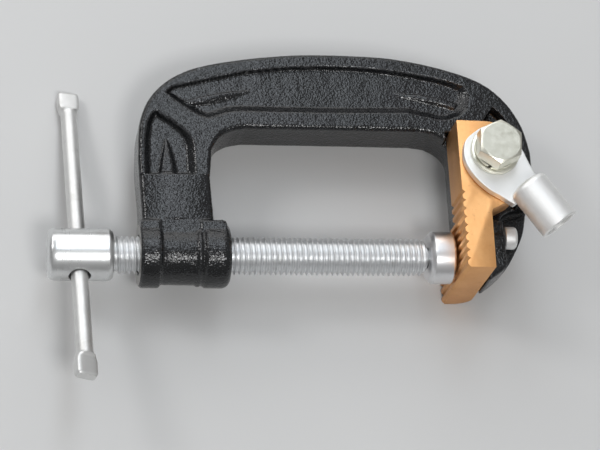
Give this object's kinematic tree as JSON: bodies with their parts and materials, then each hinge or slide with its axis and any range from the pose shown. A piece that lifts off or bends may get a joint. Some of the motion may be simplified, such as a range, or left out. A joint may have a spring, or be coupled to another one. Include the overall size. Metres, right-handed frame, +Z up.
{
  "type": "c clamp",
  "caption": "Screw clamp with a cast C frame, toothed copper contact jaw, sliding cross handle and a bolted cable lug.",
  "frame": {"origin": "centre of the assembly's bounding box, at its base", "axes": "+X along the clamp screw from its head to the copper jaw, +Y from the screw to the frame's spine, +Z up, square to the frame's flat sides"},
  "size_m": [0.2464, 0.1674, 0.0751],
  "materials": {
    "frame_paint": "gloss black enamel over a sand casting",
    "jaw_copper": "milled copper, light handling marks",
    "tinned_copper": "satin tin plate",
    "bolt_plating": "yellowish nickel plate",
    "screw_zinc": "bright zinc plate over turned steel",
    "bar_zinc": "bright zinc plate",
    "pad_zinc": "bright zinc plate over turned steel",
    "plated_steel": "zinc plate"
  },
  "bodies": {
    "frame": {"c_frame": "frame_paint", "copper_jaw": "jaw_copper", "jaw_screw": "plated_steel", "terminal_bolt": "bolt_plating", "flat_washer": "bolt_plating", "spring_washer": "bolt_plating"},
    "lug": {"cable_lug": "tinned_copper"},
    "pad": {"pressure_pad": "pad_zinc", "snap_ring": "plated_steel"},
    "screw": {"clamp_screw": "screw_zinc"},
    "bar": {"tommy_bar": "bar_zinc"}
  },
  "joints": [
    {"name": "pad_slide", "type": "slide", "parent": "frame", "child": "pad", "axis": [1, 0, 0], "range_m": [-0.0951, 0.0006]},
    {"name": "screw_turn", "type": "hinge", "parent": "pad", "child": "screw", "pos_m": [-0.10794, -0.01794, 0.02807], "axis": [1, 0, 0], "range_deg": [-13680, 85]},
    {"name": "bar_slide", "type": "slide", "parent": "screw", "child": "bar", "axis": [-0.0219, 0.9657, -0.2588], "range_m": [-0.064, 0.035]},
    {"name": "lug_swivel", "type": "hinge", "parent": "frame", "child": "lug", "pos_m": [0.08836, 0.02476, 0.05587], "axis": [0, 0, 1], "range_deg": [-60, 60]}
  ],
  "couplings": [
    {"joint": "pad_slide", "follows": "screw_turn", "m_per_rad": 0.00039789}
  ]
}
